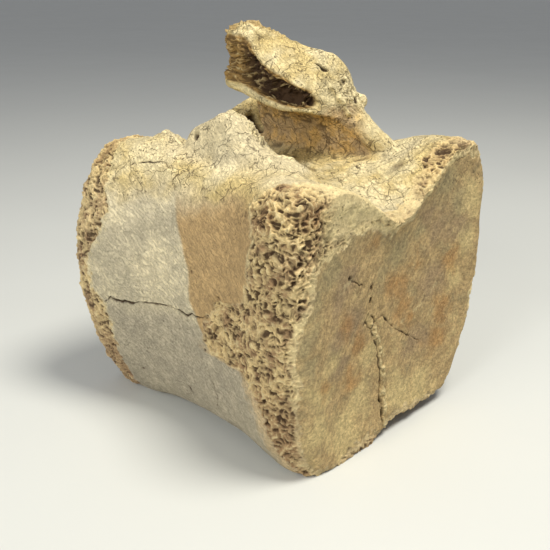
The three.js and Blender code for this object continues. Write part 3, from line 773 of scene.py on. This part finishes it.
class Shader:
    """Short ways to add and join the nodes of one material."""

    def __init__(self, name):
        self.material = bpy.data.materials.new(name)
        self.material.use_nodes = True
        self.tree = self.material.node_tree
        self.surface = self.tree.nodes["Principled BSDF"]
        place = self.tree.nodes.new("ShaderNodeTexCoord")
        self.place = self.vector("SCALE", place.outputs["Object"], scale=TO_MM)

    def put(self, socket, value):
        if isinstance(value, bpy.types.NodeSocket):
            self.tree.links.new(value, socket)
        else:
            socket.default_value = value

    def vector(self, operation, a, b=None, scale=None):
        node = self.tree.nodes.new("ShaderNodeVectorMath")
        node.operation = operation
        self.put(node.inputs[0], a)
        if b is not None:
            self.put(node.inputs[1], b)
        if scale is not None:
            self.put(node.inputs["Scale"], scale)
        return node.outputs[0]

    def height(self):
        """Height above the floor in millimetres."""
        node = self.tree.nodes.new("ShaderNodeSeparateXYZ")
        self.put(node.inputs[0], self.place)
        return node.outputs["Z"]

    def turned(self, degrees):
        """The place turned about the X, Y and Z axes, for streaks that run at a slant."""
        node = self.tree.nodes.new("ShaderNodeMapping")
        self.put(node.inputs["Vector"], self.place)
        self.put(node.inputs["Rotation"], tuple(math.radians(angle) for angle in degrees))
        return node.outputs["Vector"]

    def maths(self, operation, a, b=0.0):
        node = self.tree.nodes.new("ShaderNodeMath")
        node.operation = operation
        self.put(node.inputs[0], a)
        self.put(node.inputs[1], b)
        return node.outputs[0]

    def product(self, *values):
        total = values[0]
        for value in values[1:]:
            total = self.maths("MULTIPLY", total, value)
        return total

    def most(self, *values):
        total = values[0]
        for value in values[1:]:
            total = self.maths("MAXIMUM", total, value)
        return total

    def mixed(self, factor, a, b):
        """A number that goes from a to b as the factor goes from 0 to 1."""
        node = self.tree.nodes.new("ShaderNodeMix")
        self.put(node.inputs["Factor"], factor)
        self.put(node.inputs[2], a)
        self.put(node.inputs[3], b)
        return node.outputs[0]

    def region(self, name):
        node = self.tree.nodes.new("ShaderNodeAttribute")
        node.attribute_name = name
        return node.outputs["Fac"]

    def noise(self, size, detail=3.0, roughness=0.6, stretch=(1, 1, 1), shift=0.0, place=None):
        """Noise from 0 to 1 whose features have this size in millimetres."""
        node = self.tree.nodes.new("ShaderNodeTexNoise")
        scaled = self.vector("MULTIPLY", place or self.place, tuple(1 / (size * s) for s in stretch))
        self.put(node.inputs["Vector"], self.vector("ADD", scaled, (shift, shift, shift)))
        self.put(node.inputs["Scale"], 1.0)
        self.put(node.inputs["Detail"], detail)
        self.put(node.inputs["Roughness"], roughness)
        return node.outputs["Fac"]

    def cells(self, size, feature, warp=0.0, shift=0.0):
        """Distance in cells to the nearest point or, with DISTANCE_TO_EDGE, to the nearest cell wall."""
        node = self.tree.nodes.new("ShaderNodeTexVoronoi")
        node.feature = feature
        scaled = self.vector("SCALE", self.place, scale=1 / size)
        if warp:
            bend = self.tree.nodes.new("ShaderNodeTexNoise")
            self.put(bend.inputs["Vector"], self.vector("ADD", scaled, (shift, shift, shift)))
            self.put(bend.inputs["Scale"], 1.3)
            bend = self.vector("SUBTRACT", bend.outputs["Color"], (0.5, 0.5, 0.5))
            scaled = self.vector("ADD", scaled, self.vector("SCALE", bend, scale=warp))
        self.put(node.inputs["Vector"], self.vector("ADD", scaled, (shift, shift, shift)))
        self.put(node.inputs["Scale"], 1.0)
        return node.outputs["Distance"]

    def rise(self, value, low, high, bottom=0.0, top=1.0):
        node = self.tree.nodes.new("ShaderNodeMapRange")
        node.interpolation_type = "SMOOTHSTEP"
        numbers = {"Value": value, "From Min": low, "From Max": high, "To Min": bottom, "To Max": top}
        for name, number in numbers.items():
            self.put(node.inputs[name], number)
        return node.outputs["Result"]

    def mix(self, factor, a, b, blend="MIX"):
        node = self.tree.nodes.new("ShaderNodeMix")
        node.data_type = "RGBA"
        node.blend_type = blend
        first, second = (socket for socket in node.inputs if socket.type == "RGBA")
        self.put(node.inputs["Factor"], factor)
        self.put(first, a)
        self.put(second, b)
        return next(socket for socket in node.outputs if socket.type == "RGBA")

    def bump(self, height, distance, strength=1.0, normal=None):
        node = self.tree.nodes.new("ShaderNodeBump")
        self.put(node.inputs["Strength"], strength)
        self.put(node.inputs["Distance"], distance)
        self.put(node.inputs["Height"], height)
        if normal is not None:
            self.put(node.inputs["Normal"], normal)
        return node.outputs["Normal"]


def blotch(s, name, ragged):
    """A stored stain with its border broken up by noise."""
    raggedness = s.maths("MULTIPLY", s.maths("SUBTRACT", ragged, 0.5), 1.3)
    return s.rise(s.maths("ADD", s.region(name), raggedness), 0.05, 0.95)


def side_colour(s, cloud, streaks):
    """Pale grey-cream bone with a tan stain, yellower towards the arch and greyer low down, where the grey is
    partly painted shade.
    """
    colour = s.mix(s.rise(cloud, 0.4, 0.6), CREAM, PALE_GREY)
    # Partly the bone's own grey and partly painted shade: the side turns greyer and darker towards the bottom
    low = s.maths("ADD", s.height(), s.maths("MULTIPLY", s.maths("SUBTRACT", cloud, 0.5), 20.0))
    colour = s.mix(s.rise(low, 47.0, 38.0, 0.0, 0.8), colour, COOL_GREY)
    colour = s.mix(s.product(s.rise(streaks, 0.42, 0.62), 0.28), colour, COOL_GREY)
    colour = s.mix(s.product(s.region("upper"), s.rise(cloud, 0.62, 0.42, 0.35, 1.0)), colour, HONEY)
    colour = s.mix(s.product(s.region("stain"), 0.95), colour, TAN)
    return s.mix(s.product(s.region("tongue"), 0.8), colour, TONGUE)


def face_colour(s, colour):
    """Khaki end faces, mottled with straw, olive, mauve and rust."""
    slant = s.noise(2.2, 4, 0.7, (0.6, 1, 3.5), 41, s.turned((0, -38, 0)))
    patches = s.noise(7, 4, 0.65, shift=43)
    khaki = s.mix(s.rise(slant, 0.4, 0.62), KHAKI, KHAKI_BROWN)
    khaki = s.mix(s.rise(patches, 0.54, 0.68, 0.0, 0.45), khaki, STRAW)
    khaki = s.mix(s.rise(patches, 0.46, 0.32, 0.0, 0.4), khaki, OLIVE_GREY)
    for name, tone, share in FACE_STAINS:
        khaki = s.mix(s.product(blotch(s, name, patches), share), khaki, tone)
    khaki = s.mix(s.product(s.rise(slant, 0.56, 0.7), 0.35), khaki, STRAW)
    return s.mix(s.most(s.region("face"), s.region("back")), colour, khaki)


def arch_colour(s, colour, cloud):
    """The honey arch, with its brown canal wall."""
    honey = s.mix(s.rise(cloud, 0.4, 0.6), HONEY, PALE_HONEY)
    colour = s.mix(s.most(s.region("arch"), s.product(s.region("dorsal"), 0.85)), colour, honey)
    # Paler cream high on the animal's right side
    colour = s.mix(s.product(s.region("cream_upper_right"), 0.7), colour, CREAM)
    wall = s.mix(s.rise(s.noise(8, 3, shift=17), 0.42, 0.6), WALL_BROWN, OCHRE)
    return s.mix(s.product(s.region("wall"), 0.9), colour, wall)


def bone_material():
    s = Shader("fossil_bone")
    cloud = s.noise(20, 4)
    mottle = s.noise(4.5, 5, 0.65, shift=5)
    grain = s.noise(0.8, 3, 0.75, shift=9)
    streaks = s.noise(1.0, 3, 0.6, (1.5, 3.6, 1.0), 13, s.turned((-36, 0, 0)))
    weave = s.rise(s.maths("ABSOLUTE", s.maths("SUBTRACT", streaks, 0.5)), 0.0, 0.09)

    upper = s.most(s.region("upper"), s.region("arch"), s.region("dorsal"))
    rough = s.most(s.region("sponge"), s.region("face"), s.region("broken"))
    network = s.cells(6.5, "DISTANCE_TO_EDGE", 1.1, 2.0)
    patches = s.rise(s.noise(11, 3, shift=21), 0.42, 0.52)
    craquelure = s.product(
        s.rise(network, 0.0, 0.038, 1.0, 0.0),
        patches,
        s.rise(upper, 0.2, 0.8, 0.12, 1.0),
        s.rise(rough, 0.1, 0.6, 1.0, 0.1),
    )
    stipple = s.product(
        s.rise(s.cells(1.3, "F1", 0.0, 7.0), 0.16, 0.32, 1.0, 0.0),
        s.rise(s.noise(9, 2, shift=25), 0.44, 0.58),
        s.rise(upper, 0.1, 0.7, 0.3, 1.0),
    )

    colour = side_colour(s, cloud, streaks)
    colour = face_colour(s, colour)
    colour = arch_colour(s, colour, cloud)
    brown = s.most(
        s.rise(s.noise(6, 4, 0.65, shift=19), 0.42, 0.66), s.rise(s.height(), 42.0, 16.0, 0.0, 0.9),
    )
    sponge = s.mix(brown, SPONGE, UMBER)
    colour = s.mix(s.product(s.region("sponge"), 0.9), colour, sponge)
    colour = s.mix(s.product(s.region("chalk"), 0.65), colour, CHALK)
    colour = s.mix(s.region("broken"), colour, FIBRE)
    # Pale lips, flecks, crumbs and scratches, with the painted highlight on the spongy crests and raised
    # edges
    colour = s.mix(s.product(s.region("pale"), 0.85), colour, CHALK)

    light = s.maths("ADD", s.rise(mottle, 0.3, 0.7, 0.86, 1.12), s.rise(grain, 0.3, 0.7, -0.16, 0.12))
    light = s.product(light, s.mixed(s.rise(rough, 0.1, 0.6), s.rise(weave, 0.0, 1.0, 0.86, 1.03), 1.0))
    speckle = s.rise(s.noise(1.3, 3, 0.7, shift=51), 0.36, 0.64, 0.8, 1.18)
    light = s.product(light, s.mixed(s.region("face"), 1.0, speckle))
    colour = s.mix(1.0, colour, light, "MULTIPLY")
    # Painted shade in the pores, cracks, pits, pocket and grooves, with the fine crack network and tiny
    # pores, all darkened towards the pore colour
    dark = s.most(
        s.rise(s.region("recess_shade"), 0.08, 0.9, 0.0, 0.95), s.product(s.region("lines"), 0.7),
        s.product(craquelure, 0.65), s.product(stipple, 0.55),
    )
    colour = s.mix(dark, colour, PORE)

    s.put(s.surface.inputs["Base Color"], colour)
    s.put(s.surface.inputs["Roughness"], s.rise(mottle, 0.3, 0.7, 0.7, 0.9))
    s.surface.inputs["Specular IOR Level"].default_value = 0.3
    normal = s.bump(s.noise(1.5, 4, 0.7, shift=31), 0.001, s.mixed(s.region("face"), 0.7, 1.0))
    normal = s.bump(weave, 0.00025, s.rise(rough, 0.1, 0.6, 0.9, 0.15), normal)
    normal = s.bump(grain, 0.0003, 0.9, normal)
    normal = s.bump(s.maths("SUBTRACT", 1.0, s.most(craquelure, stipple)), 0.0003, 0.8, normal)
    s.put(s.surface.inputs["Normal"], normal)
    return s.material


def floor_material():
    s = Shader("pale_floor")
    tone = s.rise(s.noise(400, 2), 0.3, 0.7, 0.98, 1.0)
    s.put(s.surface.inputs["Base Color"], s.mix(1.0, FLOOR_GREY, tone, "MULTIPLY"))
    s.put(s.surface.inputs["Roughness"], s.rise(s.noise(90, 3), 0.3, 0.7, 0.5, 0.6))
    return s.material


# Stage
def make_floor():
    mesh = bpy.data.meshes.new("floor")
    corners = [(a * FLOOR_HALF, b * FLOOR_HALF, 0.0) for a, b in ((-1, -1), (1, -1), (1, 1), (-1, 1))]
    mesh.from_pydata(corners, [], [(0, 1, 2, 3)])
    floor = add_object("floor", mesh)
    mesh.materials.append(floor_material())


def add_light(name, place, size, power, colour):
    light = bpy.data.lights.new(name, "AREA")
    light.shape = "DISK"
    light.size = size
    light.energy = power
    light.color = colour
    lamp = add_object(name, light)
    lamp.location = place
    lamp.rotation_euler = (Vector(AIM) - Vector(place)).to_track_quat("-Z", "Y").to_euler()


def make_world():
    world = bpy.data.worlds.new("studio")
    bpy.context.scene.world = world
    world.use_nodes = True
    background = world.node_tree.nodes["Background"]
    background.inputs["Color"].default_value = WORLD_COLOUR
    background.inputs["Strength"].default_value = WORLD_STRENGTH


def make_camera():
    turn, dip = math.radians(CAMERA_TURN), math.radians(CAMERA_DIP)
    look = Vector((math.sin(turn) * math.cos(dip), math.cos(turn) * math.cos(dip), -math.sin(dip)))
    data = bpy.data.cameras.new("camera")
    data.angle = math.radians(FIELD_OF_VIEW)
    camera = add_object("camera", data)
    camera.location = CAMERA_PLACE
    camera.rotation_euler = look.to_track_quat("-Z", "Y").to_euler()
    bpy.context.scene.camera = camera


skin = make_skin()
skin.data.materials.clear()
skin.data.materials.append(bone_material())
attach(skin, "root")
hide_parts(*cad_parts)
make_floor()
make_world()
add_light("key", KEY_PLACE, KEY_SIZE, KEY_POWER, KEY_COLOUR)
add_light("fill", FILL_PLACE, FILL_SIZE, FILL_POWER, FILL_COLOUR)
make_camera()
bpy.context.scene.view_settings.view_transform = "Standard"
